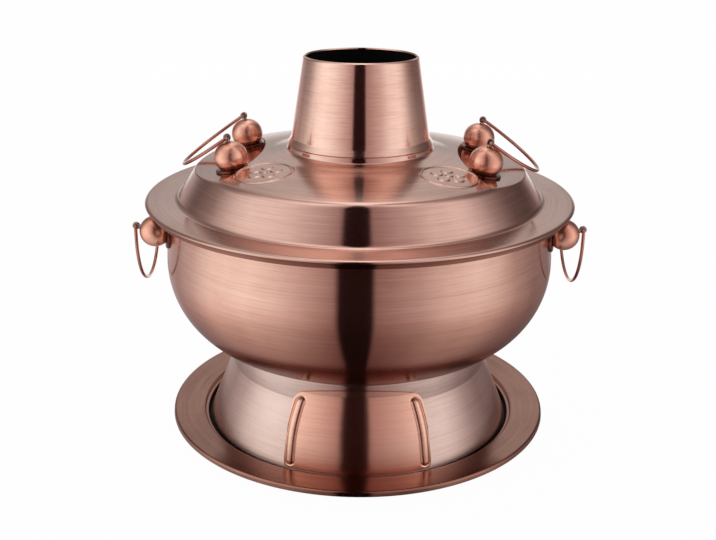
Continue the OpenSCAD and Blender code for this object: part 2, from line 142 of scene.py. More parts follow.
def feed(material, node, **inputs):
    """Links a node's inputs, by name or as _number, to sockets, or gives them values."""
    for key, value in inputs.items():
        socket = node.inputs[int(key[1:]) if key[0] == "_" else key.replace("_", " ")]
        if isinstance(value, bpy.types.NodeSocket):
            material.node_tree.links.new(value, socket)
        else:
            socket.default_value = value


def add(material, kind, settings=None, **inputs):
    """Adds a node with its settings and its inputs."""
    node = material.node_tree.nodes.new(kind)
    for key, value in (settings or {}).items():
        setattr(node, key, value)
    feed(material, node, **inputs)
    return node


def maths(material, operation, *terms):
    """The result of a maths node."""
    return add(material, "ShaderNodeMath", {"operation": operation},
               **{"_%d" % i: term for i, term in enumerate(terms)}).outputs[0]


def span(material, value, start, end, low, high):
    """A value mapped from start..end to low..high, and held at both ends."""
    return add(material, "ShaderNodeMapRange", _0=value, _1=start, _2=end, _3=low,
               _4=high).outputs[0]


def ramp(material, factor, stops):
    """A colour ramp through (position, linear RGBA) stops."""
    node = add(material, "ShaderNodeValToRGB", _0=factor)
    points = node.color_ramp.elements
    while len(points) < len(stops):
        points.new(0.5)
    for point, (place, colour) in zip(points, stops):
        point.position = place
        point.color = colour
    return node.outputs["Color"]


def new_material(name):
    """A new material, its surface node and its object coordinates."""
    made = bpy.data.materials.new(name)
    made.use_nodes = True
    place = add(made, "ShaderNodeTexCoord").outputs["Object"]
    return made, made.node_tree.nodes["Principled BSDF"], place


def copper_plate(name, across, light, mid, dark, gloss=0.19, line_mm=0.9, painted_shade=()):
    """Antique copper plate over spun stainless, brushed on the lathe.

    The brush leaves hairlines round the axis: they run long round the piece and change quickly
    along it, so highlights stretch up and down. Broader bands and clouds in the plate's tone
    keep it from looking painted. across is how far r and z count along the piece. line_mm is the
    hairlines' spacing, drawn about four times the real one, which is too fine to show. The last
    argument paints shade into the plate by height, as (height in mm, colour it multiplies the
    plate by).
    """
    made, shader, place = new_material(name)
    hair_runs = 3.0
    cloud_mm, hair_deep_mm = 45, 0.05
    xyz = add(made, "ShaderNodeSeparateXYZ", _0=place).outputs
    flat = add(made, "ShaderNodeCombineXYZ", X=xyz["X"], Y=xyz["Y"]).outputs[0]
    outward = add(made, "ShaderNodeVectorMath", {"operation": "NORMALIZE"}, _0=flat)
    radius = add(made, "ShaderNodeVectorMath", {"operation": "LENGTH"}, _0=flat)
    r_part = maths(made, "MULTIPLY", radius.outputs["Value"], across[0] / (line_mm * mm))
    along = maths(made, "MULTIPLY_ADD", xyz["Z"], across[1] / (line_mm * mm), r_part)
    spoke = add(made, "ShaderNodeSeparateXYZ", _0=outward.outputs["Vector"]).outputs
    hair_at = add(made, "ShaderNodeCombineXYZ", Z=along,
                  X=maths(made, "MULTIPLY", spoke["X"], hair_runs),
                  Y=maths(made, "MULTIPLY", spoke["Y"], hair_runs)).outputs[0]
    hair = add(made, "ShaderNodeTexNoise", Vector=hair_at, Scale=1.0, Detail=6.0,
               Roughness=0.7).outputs["Fac"]
    bands = add(made, "ShaderNodeTexNoise", Vector=hair_at, Scale=0.2, Detail=3.0,
                Roughness=0.6).outputs["Fac"]
    clouds = add(made, "ShaderNodeTexNoise", Vector=place, Scale=1 / (cloud_mm * mm), Detail=4.0,
                 Roughness=0.55).outputs["Fac"]
    tone = 0.0
    for pattern, weight in ((bands, 0.2), (hair, 0.5), (clouds, 0.3)):
        tone = maths(made, "MULTIPLY_ADD", pattern, weight, tone)
    colour = ramp(made, tone, [(0.38, linear(dark)), (0.5, linear(mid)), (0.64, linear(light))])
    # Painted shade: the plate is multiplied by a colour that goes by height.
    if painted_shade:
        low, high = painted_shade[0][0], painted_shade[-1][0]
        up = span(made, xyz["Z"], low * mm, high * mm, 0.0, 1.0)
        shade_tint = ramp(made, up, [((z - low) / (high - low), linear(c)) for z, c in painted_shade])
        colour = add(made, "ShaderNodeMix", {"data_type": "RGBA", "blend_type": "MULTIPLY"},
                     _0=1.0, _6=colour, _7=shade_tint).outputs[2]
    around = add(made, "ShaderNodeCombineXYZ", X=maths(made, "MULTIPLY", xyz["Y"], -1.0),
                 Y=xyz["X"]).outputs[0]
    tangent = add(made, "ShaderNodeVectorTransform",
                  {"vector_type": "VECTOR", "convert_from": "OBJECT", "convert_to": "WORLD"},
                  _0=around).outputs[0]
    bump = add(made, "ShaderNodeBump", Height=hair, Strength=0.08, Distance=hair_deep_mm * mm)
    feed(made, shader, Base_Color=colour, Metallic=1.0, Normal=bump.outputs[0],
         Roughness=span(made, hair, 0.3, 0.7, gloss - 0.03, gloss + 0.04),
         Anisotropic=1.0, Anisotropic_Rotation=0.25, Tangent=tangent)
    return made


def second_material_inside(thing, material, inside):
    """A second material, such as painted shade, on the faces of a piece where inside(r, z), in mm,
    is true.
    """
    thing.data.materials.append(material)
    for face in thing.data.polygons:
        middle = face.center / mm
        if inside(math.hypot(middle.x, middle.y), middle.z):
            face.material_index = 1


sheet_t = 1.2
tray_r = 156.4
tray_rim_z = 12
tray_lip = (131, 9.4)
tray_ledge_z = 6.4
tray_floor_r = 127
tray_top = bent([
    (0, sheet_t),
    (tray_floor_r, sheet_t, 2),
    (tray_floor_r + 0.7, tray_ledge_z, 1.3),
    (tray_lip[0] - 1.2, tray_ledge_z + 0.1, 0.5),
    (*tray_lip, 1.6),
    (tray_r - 0.4, tray_rim_z, 1.8),
    (tray_r, tray_rim_z - 4)])
tray_plate = copper_plate("Copper plated steel, lathe brushed tray", (1, 0),
                          "#b98a7b", "#a97b6c", "#94695a", gloss=0.16)
tray = piece("tray_pan", spun(sheet_outline(tray_top, -sheet_t)), "drip_tray", tray_plate,
             ["drip_tray"])
# Painted shade: the sunken floor and the low wall of the recess round the foot are coloured near
# black, where shade falls.
tray_recess_shade = copper_plate("Copper plated steel, painted shade in the recess", (1, 0),
                           "#3d231c", "#2b1712", "#1c0e0b", gloss=0.3)
second_material_inside(tray, tray_recess_shade, lambda r, z: r < tray_floor_r + 1 and z > 1)


# ---- Flared foot -----------------------------------------------------------------------
# One spun sheet: a flange lapped under the bowl, an upright neck, then a straight cone down to
# the tray. A port is cut low in the front for the draught, and a slot in the neck guides the
# door.

foot_r = 124.6
foot_hem_z = 6
neck_r = 105.5
crease_z = 54
port = {"half": 17.5, "low": 14, "high": 44, "corner": 4}
guide = {"half": 24.6, "z": 59.5, "wide": 4.2}


def flare(z):
    """Outer radius of the foot in mm at height z."""
    return foot_r - (foot_r - neck_r) * (z - foot_hem_z) / (crease_z - foot_hem_z)


def round_hole(half, low, high, corner, inner=85, outer=140, per_arc=6):
    """A block that cuts a round-cornered hole through a ring's front, from inner to outer.

    half is in degrees to each side of the front, the rest in mm.
    """
    bm = bmesh.new()
    middle = flare((low + high) / 2)
    reach = math.radians(half) * middle
    rim = []
    for sx, sz in ((1, 1), (-1, 1), (-1, -1), (1, -1)):
        start = math.atan2(sz, sx) - math.pi / 4
        for i in range(per_arc + 1):
            a = start + math.pi / 2 * i / per_arc
            along = sx * (reach - corner) + corner * math.cos(a)
            up = (high if sz > 0 else low) - sz * corner + corner * math.sin(a)
            rim.append((along / middle, up))
    loops = [[bm.verts.new((r * math.sin(a) * mm, -r * math.cos(a) * mm, z * mm)) for a, z in rim]
             for r in (inner, outer)]
    for i in range(len(rim)):
        k = (i + 1) % len(rim)
        bm.faces.new((loops[0][i], loops[0][k], loops[1][k], loops[1][i]))
    bm.faces.new(loops[0])
    bm.faces.new(loops[1])
    bmesh.ops.recalc_face_normals(bm, faces=bm.faces)
    bmesh.ops.triangulate(bm, faces=bm.faces)
    mesh = bpy.data.meshes.new("cutter")
    bm.to_mesh(mesh)
    bm.free()
    cutter = bpy.data.objects.new("cutter", mesh)
    bpy.context.collection.objects.link(cutter)
    return cutter


def cut(thing, cutters):
    """Cuts the cutters out of a piece and removes them."""
    for cutter in cutters:
        tool = thing.modifiers.new("cut", "BOOLEAN")
        tool.operation = "DIFFERENCE"
        tool.solver = "EXACT"
        tool.object = cutter
    graph = bpy.context.evaluated_depsgraph_get()
    mesh = bpy.data.meshes.new_from_object(thing.evaluated_get(graph))
    thing.modifiers.clear()
    thing.data = mesh
    smooth(mesh)
    for cutter in cutters:
        bpy.data.objects.remove(cutter)


flare_top = crease_z - 3
foot_face = bent([
    (90, 70.8),
    (101, 72.2),
    (neck_r, 73.3, 1.8),
    (neck_r, crease_z + 1, 3),
    (flare(flare_top), flare_top)])
foot_face += [Vector((flare(z), z)) for z in
              [flare_top - (flare_top - foot_hem_z) * i / 30 for i in range(1, 31)]]
foot_hem = ((foot_r + 0.35, 5.2), (foot_r + 0.45, 4.2), (foot_r, 3.2), (foot_r, sheet_t + 0.1))
foot_face += [Vector(p) for p in foot_hem]
foot_plate = copper_plate("Copper plated steel, lathe brushed foot", (-1, 1),
                          "#ead0c6", "#e0c4b9", "#d1b2a6", gloss=0.22)
foot = piece("foot_shell", spun(sheet_outline(foot_face, -sheet_t)), "pot", foot_plate,
             ["pot_foot"])
cut(foot, [
    round_hole(**port),
    round_hole(guide["half"], guide["z"] - guide["wide"] / 2, guide["z"] + guide["wide"] / 2,
               guide["wide"] / 2 - 0.01, inner=98, outer=112)])


# ---- Air door --------------------------------------------------------------------------
# A bowed steel plate in front of the port, smoother and warmer than the foot. A rounded bead
# is pressed along each side for a grip. Two studs on its back run in the neck's guide slot.

# In mm, but "half", "lean", "at" and "in" are in degrees.
door = {"half": 26.6, "low": 7.5, "high": 68, "lean": 30, "bow": 144.5, "gap": 0.5, "step": 62.5,
        "top_corner": 6, "low_corner": 3, "middle_r": 116}
bead = {"at": 24.5, "in": 1.2, "in_from": 28, "wide": 7, "rise": 1.5, "low": 13.5, "high": 56,
        "groove": 0.4, "groove_wide": 0.35}
door_neck_r = neck_r + door["gap"] + sheet_t
door_start = Vector((flare(door["low"]) + door["gap"] + sheet_t, door["low"]))
door_end = Vector((door_neck_r, door["step"]))
door_chord = door_end - door_start
door_centre = ((door_start + door_end) / 2 + door_chord.normalized().orthogonal()
               * math.sqrt(door["bow"] ** 2 - door_chord.length_squared / 4))


def door_face(z):
    """Outer radius of the door in mm at height z."""
    if z > door["step"]:
        return door_neck_r
    return door_centre.x + math.sqrt(door["bow"] ** 2 - (z - door_centre.y) ** 2)


def nipped(distance, radius):
    """How far a corner of that radius nips an edge in, at a distance from the side."""
    if distance >= radius:
        return 0
    return radius - math.sqrt(max(radius ** 2 - (radius - distance) ** 2, 0))


def bead_height(a, z):
    """Height in mm of the pressed bead and the fine groove round it, at angle a and height z."""
    up = max(z - bead["in_from"], 0) / (bead["high"] - bead["in_from"])
    aside = math.radians(abs(a) - bead["at"] + bead["in"] * up * up) * door_face(z)
    past = max(z - bead["high"], bead["low"] - z, 0)
    off = math.hypot(aside, past) / (bead["wide"] / 2)
    if off < 1:
        return bead["rise"] * (1 - off ** 2) ** 0.8
    if off > 1 + bead["groove_wide"]:
        return 0
    return -bead["groove"] * math.sin(math.pi * (off - 1) / bead["groove_wide"])


def door_sheet():
    """The door's outer face as a grid, finer at the sides, that ends on its outline."""
    bm = bmesh.new()
    wide, tall = 420, 150
    grid = []
    for i in range(wide + 1):
        across = 2 * i / wide - 1
        a = door["half"] * (0.35 * math.sin(math.pi / 2 * across) + 0.65 * across)
        inset = math.radians(door["half"] - abs(a)) * door["middle_r"]
        sunk = door_neck_r * (1 - math.cos(math.radians(a)))
        top = (door["high"] - math.tan(math.radians(door["lean"])) * sunk
               - nipped(inset, door["top_corner"]))
        low = door["low"] + nipped(inset, door["low_corner"])
        column = []
        for j in range(tall + 1):
            z = low + (top - low) * j / tall
            r = door_face(z) + bead_height(a, z)
            column.append(bm.verts.new((r * math.sin(math.radians(a)) * mm,
                                        -r * math.cos(math.radians(a)) * mm, z * mm)))
        grid.append(column)
    for i in range(wide):
        for j in range(tall):
            bm.faces.new((grid[i][j], grid[i + 1][j], grid[i + 1][j + 1], grid[i][j + 1]))
    return bm


door_plate = copper_plate("Copper plated steel, fine satin door", (-1, 1),
                          "#ffd2bc", "#fac7b0", "#eeb89f", gloss=0.2, line_mm=0.6)
door_piece = piece("door_plate", door_sheet(), "air_door", door_plate, ["air_door"])
thick = door_piece.modifiers.new("sheet", "SOLIDIFY")
thick.thickness = sheet_t * mm
thick.offset = -1
soft_edge = door_piece.modifiers.new("deburred edge", "BEVEL")
soft_edge.width = 0.3 * mm
soft_edge.segments = 2
soft_edge.limit_method = "ANGLE"
soft_edge.angle_limit = math.radians(50)


def bolt_metal(name, hex_colour, gloss):
    """Turned steel: fine tool marks vary its gloss, and it has no direction that shows."""
    made, shader, place = new_material(name)
    mark_mm = 1.2
    marks = add(made, "ShaderNodeTexNoise", Vector=place, Scale=1 / (mark_mm * mm), Detail=4.0)
    rough = span(made, marks.outputs["Fac"], 0.3, 0.7, gloss - 0.06, gloss + 0.06)
    feed(made, shader, Base_Color=linear(hex_colour), Metallic=1.0, Roughness=rough)
    return made


bright_zinc = bolt_metal("Zinc plated steel, turned", "#b9b5ae", 0.3)


def finish_nodes(material, *names):
    """Gives CAD nodes that keep their shape their finish."""
    for name in names:
        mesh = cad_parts[name].data
        mesh.materials.clear()
        mesh.materials.append(material)


finish_nodes(bright_zinc, "door_studs", "door_clips")


# ---- Bowl ------------------------------------------------------------------------------
# A deep spun bowl with a flat floor, an elliptical belly and an almost upright wall. The
# rim is turned out to a flange, then down to a narrow band that the lid's edge covers. Shade
# is painted into the plate low on the belly, and as a dark line and a greyer band under the flange.

bowl_low = 70.8
floor_r = 87.4
belly_r = 155.2
belly_z = 142.3
mouth_r = 153
rim_r = 166
rim_z = 190.5
wall_top = rim_z - sheet_t
bowl_face = [Vector((57.15, bowl_low))]
bowl_face += [Vector((floor_r + (belly_r - floor_r) * math.sin(a),
                      belly_z - (belly_z - bowl_low) * math.cos(a)))
              for a in [math.pi / 2 * i / 72 for i in range(73)]]
bowl_face += bent([
    (belly_r, belly_z + 0.5),
    (mouth_r, wall_top, 2),
    (rim_r - sheet_t, wall_top, 0.8),
    (rim_r - sheet_t, rim_z - 4.3)])
# Painted shade by height: the belly darkens towards the foot, where it faces the floor shaded by
# the pot, and a dark line and a greyer band sit under the lid's flange.
bowl_plate = copper_plate("Copper plated steel, lathe brushed bowl", (1, 1),
                          "#e8c2b1", "#dfb4a2", "#d0a390", gloss=0.15,
                          painted_shade=[(80, "#6c453f"), (91, "#9a7068"), (103, "#d0aeaa"),
                                 (118, "#e4ccc6"), (134, "#efe0dc"), (152, "#ffffff"),
                                 (182.5, "#ffffff"), (184.4, "#6a4b45"), (186.2, "#a08c88"),
                                 (190, "#8d7873")])
piece("bowl_shell", spun(sheet_outline(bowl_face, sheet_t), 360), "pot", bowl_plate,
      ["bowl"])


# ---- Fire tube and grate ---------------------------------------------------------------
# A tapered tube from the bowl's floor up through the lid carries the charcoal. Inside it,
# three small angles hold a loose cast-iron grate. Both are dulled by heat and soot.

tube_top = 244
tube_face = [Vector(p) for p in ((66, bowl_low - 0.02), (57, bowl_low - 0.02), (50, tube_top))]
tube_plate = copper_plate("Copper plated steel, heat dulled tube", (-1, 1),
                          "#8f6a5c", "#6e4c42", "#4a322c", gloss=0.34)
piece("fire_tube_wall", spun(sheet_outline(tube_face, sheet_t)), "pot", tube_plate,
      ["fire_tube"])


def dark_grainy_metal(name, low, high):
    """Cast iron or steel, nearly black, grainy and matt: the grate's soot, and the chimney's black
    lining.
    """
    made, shader, place = new_material(name)
    grain_mm, deep_mm = 2.5, 0.4
    grain = add(made, "ShaderNodeTexNoise", Vector=place, Scale=1 / (grain_mm * mm), Detail=6.0,
                Roughness=0.7).outputs["Fac"]
    bump = add(made, "ShaderNodeBump", Height=grain, Strength=0.4, Distance=deep_mm * mm)
    feed(made, shader, Metallic=0.6, Roughness=0.8, Normal=bump.outputs[0],
         Base_Color=ramp(made, grain, [(0.35, linear(low)), (0.65, linear(high))]))
    return made


finish_nodes(dark_grainy_metal("Cast iron, sooted grate", "#171514", "#2b2725"), "fire_grate")
finish_nodes(tube_plate, "grate_lugs")


# ---- Side handles ----------------------------------------------------------------------
# Four solid balls stand on saddle washers outside the bowl, drawn tight by eyebolts and cap
# nuts. A bent wire bail swings in each pair of eyes and hangs against the bowl.

ball_r = 12
ball_y = 42
eye = {"up": 15, "r": 2.9, "bore": 1.2, "thick": 2.3, "soft": 0.6}
shank_r = 2
neck_in_eye_r = 1.75
side_ball = {"x": 158, "z": 172, "rise": 16, "seat_r": 10.6, "seat_t": 2}
side_shank_low = -15.6
side_bail_reach = 55.6
wire_r = 1.3
pin_r = 1.12
hole_r = 1.9
turn = {"right": 0.0, "left": math.pi}
four_balls = (("left", ball_y, "left_front"), ("left", -ball_y, "left_back"),
              ("right", -ball_y, "right_front"), ("right", ball_y, "right_back"))


def wall_radius(z):
    """Outer radius of the bowl's upper wall in mm at height z."""
    return belly_r + (mouth_r - belly_r) * (z - belly_z - 0.5) / (wall_top - belly_z - 0.5)


def side_place(side, y):
    """The matrix of a side ball: its axis is local Z, and its centre the origin (mm)."""
    return (Matrix.Rotation(turn[side], 4, "Z")
            @ Matrix.Translation((side_ball["x"], y, side_ball["z"]))
            @ Matrix.Rotation(math.radians(90 - side_ball["rise"]), 4, "Y"))


def off_wall(place, x, y, lift):
    """Where a line along local Z meets the wall grown by lift, as a point in mm."""
    z = -7.0
    for _ in range(12):
        p = place @ Vector((x, y, z))
        z -= math.hypot(p.x, p.y) - wall_radius(p.z) - lift
    return place @ Vector((x, y, z))


def rings_mesh(rings, close_ends=True):
    """Rings of points (mm) joined into a closed skin."""
    bm = bmesh.new()
    loops = [[bm.verts.new(Vector(p) * mm) for p in ring] for ring in rings]
    for low, high in zip(loops, loops[1:]):
        for i in range(len(low)):
            k = (i + 1) % len(low)
            bm.faces.new((low[i], low[k], high[k], high[i]))
    if close_ends:
        bm.faces.new(loops[0])
        bm.faces.new(loops[-1])
    return bm


def joined(parts):
    """Several bmeshes as one."""
    whole = bmesh.new()
    for part in parts:
        mesh = bpy.data.meshes.new("part")
        part.to_mesh(mesh)
        part.free()
        whole.from_mesh(mesh)
        bpy.data.meshes.remove(mesh)
    return whole


def saddle(side, y, steps=120):
    """A washer that follows the wall, with a rounded outer edge."""
    place = side_place(side, y)
    r, t = side_ball["seat_r"], side_ball["seat_t"]
    rings = []
    for radius, lift in ((hole_r, 0.05), (r - 0.3, 0.05), (r, 0.3), (r, t - 0.6),
                         (r - 0.15, t - 0.25), (r - 0.5, t - 0.05), (r - 1, t), (6, t),
                         (hole_r, t)):
        rings.append([off_wall(place, radius * math.cos(2 * math.pi * i / steps),
                               radius * math.sin(2 * math.pi * i / steps), lift)
                      for i in range(steps)])
    return rings_mesh(rings + [rings[0]], close_ends=False)


def side_ball_skin(side, y, steps=96, rows=56):
    """A ball whose foot is ground to sit on its saddle."""
    place = side_place(side, y)
    rings = []
    for j in range(rows + 1):
        a = math.pi * (0.02 + 0.96 * j / rows)
        ring = []
        for i in range(steps):
            b = 2 * math.pi * i / steps
            p = place @ (ball_r * Vector((math.sin(a) * math.cos(b), math.sin(a) * math.sin(b),
                                          math.cos(a))))
            radius = math.hypot(p.x, p.y)
            least = wall_radius(p.z) + side_ball["seat_t"] - 0.02
            if radius < least:
                p.x *= least / radius
                p.y *= least / radius
            ring.append(p)
        rings.append(ring)
    return rings_mesh(rings)


def eyebolt(low, up):
    """A rounded eye on a straight shank, in mm about local Z."""
    r, bore, half, soft = eye["r"], eye["bore"], eye["thick"] / 2, eye["soft"]
    loop = [(bore, -half + 0.3), (bore + 0.3, -half)]
    loop += [(r - soft + soft * math.sin(a), -half + soft - soft * math.cos(a))
             for a in [math.pi / 2 * i / 6 for i in range(7)]]
    loop += [(r - soft + soft * math.cos(a), half - soft + soft * math.sin(a))
             for a in [math.pi / 2 * i / 6 for i in range(7)]]
    loop += [(bore + 0.3, half), (bore, half - 0.3)]
    ring = spun([Vector(p) for p in loop], 64)
    bmesh.ops.transform(ring, verts=ring.verts, matrix=Matrix.Translation((0, 0, up * mm))
                        @ Matrix.Rotation(math.pi / 2, 4, "X"))
    shank = spun([Vector(p) for p in (
        (0, low), (shank_r - 0.4, low), (shank_r, low + 0.4), (shank_r, up - r - 0.4),
        (neck_in_eye_r, up - r + 0.3), (neck_in_eye_r, up - bore - 0.5), (0, up - bore - 0.5))], 48)
    return joined([ring, shank])


def moved(bm, place):
    """A bmesh in metres moved by a matrix whose shift is in mm."""
    where = place.copy()
    where.translation *= mm
    bmesh.ops.transform(bm, matrix=where, verts=bm.verts)
    return bm


def wire_bail(reach, steps=24):
    """A round-ended wire along local X with its pins on the Y axis, in mm, as one skin."""
    bend_r, pin_in = 1.6, 40
    leg = ball_y + eye["thick"] / 2 + 0.25 + bend_r
    middle = reach - wire_r - leg
    path = [(0, pin_in, pin_r - 0.45), (0, pin_in + 0.12, pin_r - 0.15), (0, pin_in + 0.4, pin_r),
            (0, pin_in + 2.2, pin_r), (0, leg - bend_r - 0.3, pin_r)]
    path += [(bend_r - bend_r * math.cos(a), leg - bend_r + bend_r * math.sin(a),
              pin_r + (wire_r - pin_r) * min(1, a))
             for a in [math.pi / 2 * i / 8 for i in range(9)]]
    path += [(middle * 0.6, leg, wire_r)]
    path += [(middle + leg * math.sin(a), leg * math.cos(a), wire_r)
             for a in [math.pi / 2 * i / 48 for i in range(49)]]
    path += [(x, -y, r) for x, y, r in path[-2::-1]]
    rings = []
    for i, (x, y, r) in enumerate(path):
        ahead = Vector(path[min(i + 1, len(path) - 1)][:2])
        behind = Vector(path[max(i - 1, 0)][:2])
        across = (ahead - behind).normalized().orthogonal()
        rings.append([Vector((x, y, 0)) + r * math.cos(a) * Vector((across.x, across.y, 0))
                      + Vector((0, 0, r * math.sin(a)))
                      for a in [2 * math.pi * k / steps for k in range(steps)]])
    return rings_mesh(rings)


def satin_copper(name, light, dark, gloss, grain_mm, patch_mm=9):
    """Antique copper plate over tumbled steel: an even satin, a little darker in patches."""
    made, shader, place = new_material(name)
    deep_mm = 0.05
    patch = add(made, "ShaderNodeTexNoise", Vector=place, Scale=1 / (patch_mm * mm), Detail=5.0,
                Roughness=0.6).outputs["Fac"]
    grain = add(made, "ShaderNodeTexNoise", Vector=place, Scale=1 / (grain_mm * mm),
                Detail=3.0).outputs["Fac"]
    bump = add(made, "ShaderNodeBump", Height=grain, Strength=0.06, Distance=deep_mm * mm)
    feed(made, shader, Metallic=1.0, Normal=bump.outputs[0],
         Base_Color=ramp(made, patch, [(0.35, linear(dark)), (0.62, linear(light))]),
         Roughness=span(made, grain, 0.3, 0.7, gloss - 0.05, gloss + 0.05))
    return made


ball_plate = satin_copper("Copper plated steel, satin balls", "#f4bba4", "#e0a189", 0.3, 1.2)
# Painted shade: the washers are real parts, but their dark colour stands for the shade under the
# balls.
washer_plate_shade = satin_copper("Copper plated steel, washers painted dark as shade", "#7a4d3f", "#47291f", 0.26, 1.0)
eye_metal = bolt_metal("Nickel plated steel, bright eyes", "#a3948d", 0.14)
wire_plate = satin_copper("Copper plated steel, satin wire", "#cd9180", "#a9705f", 0.14, 3.0, 50)

piece("side_saddles", joined([saddle(s, y) for s in turn for y in (-ball_y, ball_y)]), "pot",
      washer_plate_shade, ["side_seats"])
for side, y, where in four_balls:
    piece("side_knob_" + where, side_ball_skin(side, y), "pot", ball_plate,
          ["side_ball_" + where])
piece("side_eyes", joined([moved(eyebolt(side_shank_low, eye["up"]), side_place(s, y))
                           for s in turn for y in (-ball_y, ball_y)]),
      "pot", eye_metal, ["side_eyebolts"])
finish_nodes(bright_zinc, "side_nuts")
rise = math.radians(side_ball["rise"])
side_eye = Vector((side_ball["x"] + eye["up"] * math.cos(rise), 0,
                   side_ball["z"] + eye["up"] * math.sin(rise)))
for side in turn:
    hang = (Matrix.Rotation(turn[side], 4, "Z") @ Matrix.Translation(side_eye)
            @ Matrix.Rotation(math.pi / 2, 4, "Y"))
    piece("side_wire_" + side, moved(wire_bail(side_bail_reach), hang), "side_bail_" + side,
          wire_plate, ["side_bail_" + side])


# ---- Lid -------------------------------------------------------------------------------
# A spun ring with a collar round the fire tube, a gentle cone, a rounded shoulder, a skirt
# and a hemmed flange. Two pads are pressed flat for the handles, and two round ornaments
# are embossed in front between them.

lid_turn = math.radians(-2.5)
flange_z = 193
flange_r = 170
cone_top = (72, 227.5)
cone_bow = 292.8
cone_start, cone_sweep = math.radians(3), math.radians(10.3)
cone_face = [Vector((cone_top[0] + cone_bow * (math.sin(a) - math.sin(cone_start)),
                     cone_top[1] - cone_bow * (math.cos(cone_start) - math.cos(a))))
             for a in [cone_start + cone_sweep * i / 120 for i in range(121)]]
lid_face = bent([
    (54, 237.9),
    (54.35, 234.7, 0.5),
    (57, 234.5, 1.5),
    (57.8, 230.3, 1.4),
    (*cone_top, 30),
    cone_face[5]]) + cone_face[6:-1] + bent([
        cone_face[-1],
        (127.5, 219.2, 8),
        (144.8, flange_z, 5),
        (164, flange_z)], steps=12)
pad = {"slope": 0.16, "z": 219.3, "ref": 100, "edge_at": 268, "edge_r": 179.5, "edge_z": 205,
       "draft": 0.5, "soft": 0.9}
ornament = {"at": 96, "r": 22, "line": 2.2, "rise": 0.8, "petal_at": 9, "petal_r": 4.6, "bud": 3,
            "petal_rise": 0.7}


def softer(a, b, k):
    """The lower of two heights, with a blend of about k mm where they meet."""
    h = max(k - abs(a - b), 0) / k
    return min(a, b) - h * h * k / 4


def eased(v):
    """A smooth step from 0 to 1 as v goes from 0 to 1."""
    v = min(max(v, 0), 1)
    return v * v * (3 - 2 * v)


def pad_height(x, y, t):
    """Height of the pressed pad at a point, its curved step included; t is 0 outside."""
    best = -1e9
    for side in turn.values():
        a = -(lid_turn + side)
        px = x * math.cos(a) - y * math.sin(a)
        py = x * math.sin(a) + y * math.cos(a)
        if px < 60:
            continue
        plane = pad["z"] - pad["slope"] * (px - pad["ref"]) - t
        away = math.hypot(px - pad["edge_at"], py) - pad["edge_r"] - t
        step = pad["edge_z"] + away / pad["draft"]
        best = max(best, -softer(-plane, -step, pad["soft"]))
    return best if best > 0 else 1e9


def emboss(x, y):
    """Rise of the two embossed rings and their plain five-petal blossoms at a point."""
    most = 0
    for quarter in (2, 3):
        a = lid_turn + math.pi / 4 + quarter * math.pi / 2
        dx = x * math.cos(a) + y * math.sin(a) - ornament["at"]
        dy = y * math.cos(a) - x * math.sin(a)
        off = math.hypot(dx, dy)
        if off > ornament["r"] + 1:
            continue
        middle = ornament["r"] - ornament["line"] / 2
        most = max(most, ornament["rise"]
                   * eased((ornament["line"] / 2 + 0.35 - abs(off - middle)) / 0.9))
        for i in range(5):
            b = 2 * math.pi * i / 5
            to_petal = math.hypot(dx - ornament["petal_at"] * math.cos(b),
                                  dy - ornament["petal_at"] * math.sin(b))
            most = max(most, ornament["petal_rise"]
                       * eased((ornament["petal_r"] + 0.3 - to_petal) / 1.1))
        most = max(most, ornament["petal_rise"] * eased(ornament["bud"] + 0.3 - off))
    return most


def finer(path, step):
    """The same path with points no more than step mm apart."""
    dense = [path[0]]
    for p, q in zip(path, path[1:]):
        count = max(1, math.ceil((q - p).length / step))
        dense += [p.lerp(q, i / count) for i in range(1, count + 1)]
    return dense


def lid_skin():
    """The lid's upper and lower faces, hem and collar edge as one closed skin."""
    upper = finer(lid_face, 0.45)
    steps = 1200
    hem = [Vector((flange_r - x, flange_z - z)) for x, z in (
        (3, 0), (2.2, 0.06), (1.5, 0.24), (0.9, 0.56), (0.4, 1.0), (0.12, 1.4), (0, 1.7),
        (0.12, 1.95), (0.4, 2.12), (1, 2.2), (7, 2.2), (7, sheet_t))]
    under = finer(left_of(lid_face, -sheet_t)[::-1], 1.6)
    outline = [(p, "up") for p in upper] + [(p, "hem") for p in hem] + [(p, "low") for p in under]
    verts, faces = [], []
    for p, kind in outline:
        plain = kind == "hem" or p.x < 70 or p.x > 152  # clear of pads and ornaments
        t = sheet_t if kind == "low" else 0
        for i in range(steps):
            a = 2 * math.pi * i / steps
            x, y, z = p.x * math.cos(a), p.x * math.sin(a), p.y
            if not plain:
                z = softer(z, pad_height(x, y, t), pad["soft"])
                if kind == "up":
                    z += emboss(x, y)
            verts.append((x * mm, y * mm, z * mm))
    rows = len(outline)
    for j in range(rows):
        k = (j + 1) % rows
        for i in range(steps):
            n = (i + 1) % steps
            faces.append((j * steps + i, j * steps + n, k * steps + n, k * steps + i))
    mesh = bpy.data.meshes.new("lid")
    mesh.from_pydata(verts, [], faces)
    bm = bmesh.new()
    bm.from_mesh(mesh)
    bpy.data.meshes.remove(mesh)
    return bm


lid_plate = copper_plate("Copper plated steel, lathe brushed lid", (1, -1),
                         "#e6c2b4", "#dcb4a5", "#cda494", gloss=0.13)
piece("lid_shell", lid_skin(), "lid", lid_plate, ["lid"])

pad_tilt = math.atan(pad["slope"])
seat_r = 13.2
seat_t = 1.7
ball_flat = 8.5
ball_fuller = 0.8
lid_ball_up = seat_t + ball_flat + 0.04
lid_shank_low = -6
lid_bail_reach = 52
lid_bail_droop = math.radians(35)
lid_ball_x = 96.5
lid_base_x = lid_ball_x - lid_ball_up * math.sin(pad_tilt)
lid_base = Vector((lid_base_x, 0, pad["z"] - pad["slope"] * (lid_base_x - pad["ref"])))


